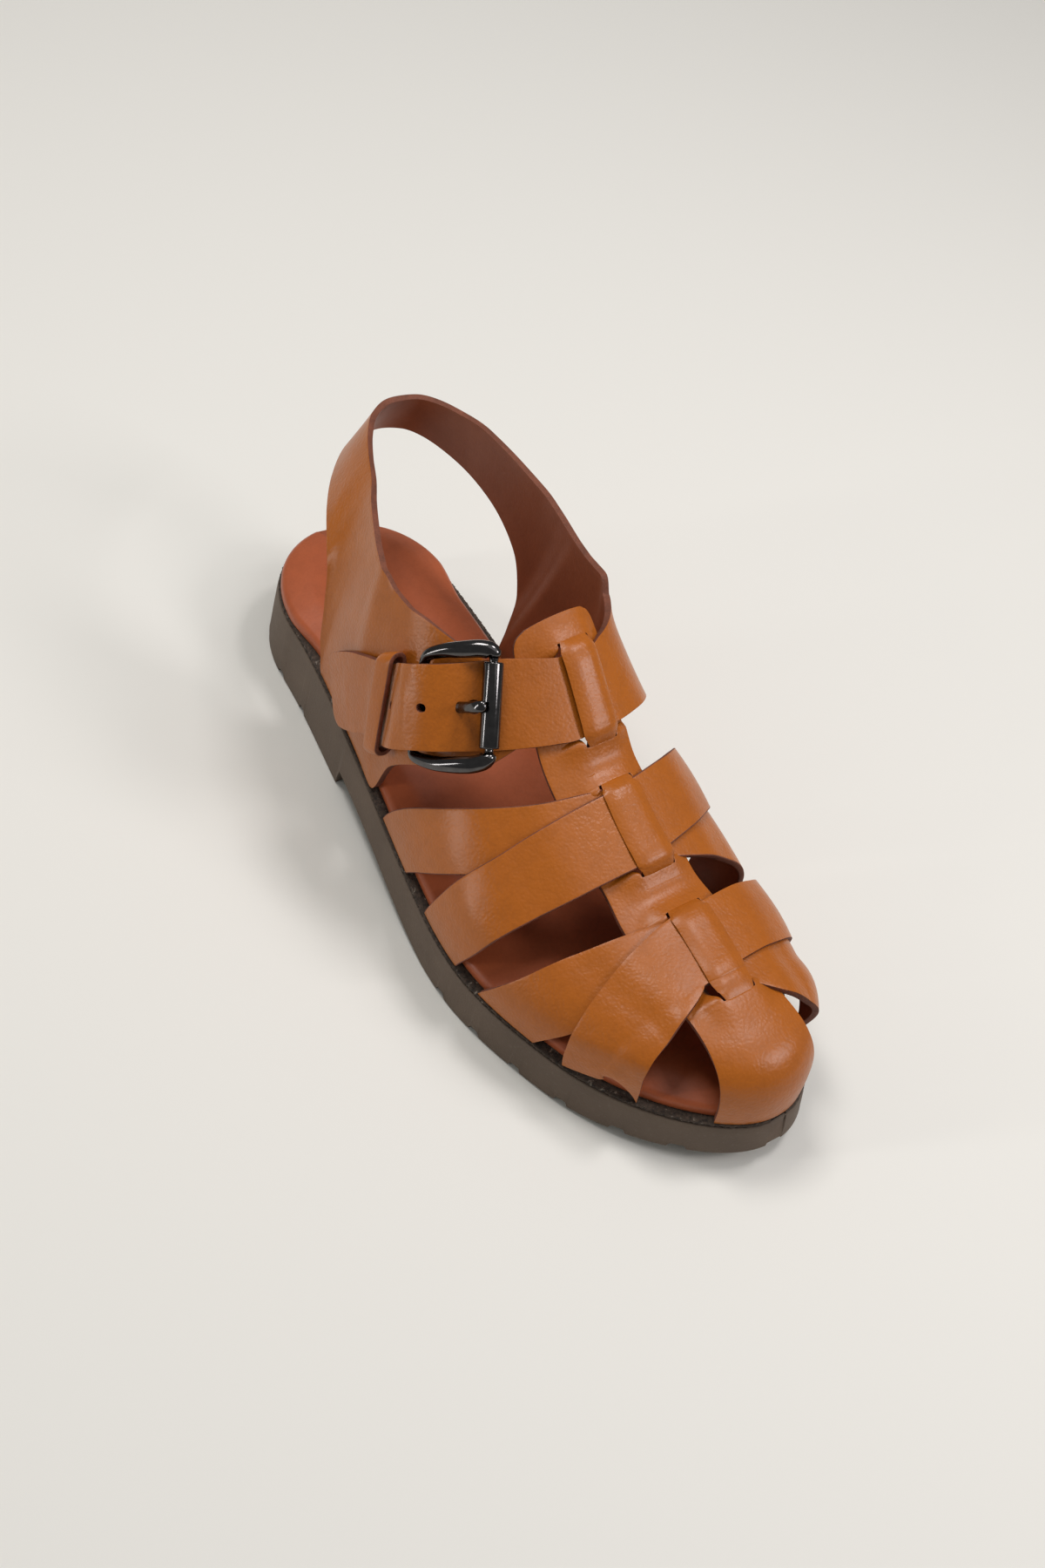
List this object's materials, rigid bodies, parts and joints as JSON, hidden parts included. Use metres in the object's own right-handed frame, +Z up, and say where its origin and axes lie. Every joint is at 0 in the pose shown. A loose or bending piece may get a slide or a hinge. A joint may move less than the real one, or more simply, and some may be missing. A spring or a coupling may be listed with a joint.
{
  "type": "fisherman sandal",
  "caption": "Flat fisherman sandal for the right foot, with crossed leather straps, an open collar, a roller buckle at the ankle and a lugged rubber sole.",
  "frame": {"origin": "on the floor under the middle of the heel, on the flat rubber between two side lugs", "axes": "+Y towards the toe, +X to the outer side of the foot, +Z up"},
  "size_m": [0.0947, 0.2604, 0.0925],
  "materials": {
    "outsole_rubber": "matt moulded rubber, brown",
    "board_edge": "rough dark fibre edge with cement",
    "insole_leather": "smooth terracotta leather, slight gloss",
    "strap_leather": "smooth grained tan leather with raw edges",
    "gunmetal": "polished dark gunmetal plating"
  },
  "bodies": {
    "root": {"outsole": "outsole_rubber", "insole_board": "board_edge", "insole": "insole_leather", "upper": "strap_leather", "heel_strap": "strap_leather", "buckle_chape": "strap_leather", "keeper_loop": "strap_leather", "buckle_frame": "gunmetal", "buckle_roller": "gunmetal", "buckle_prong": "gunmetal"}
  },
  "joints": []
}
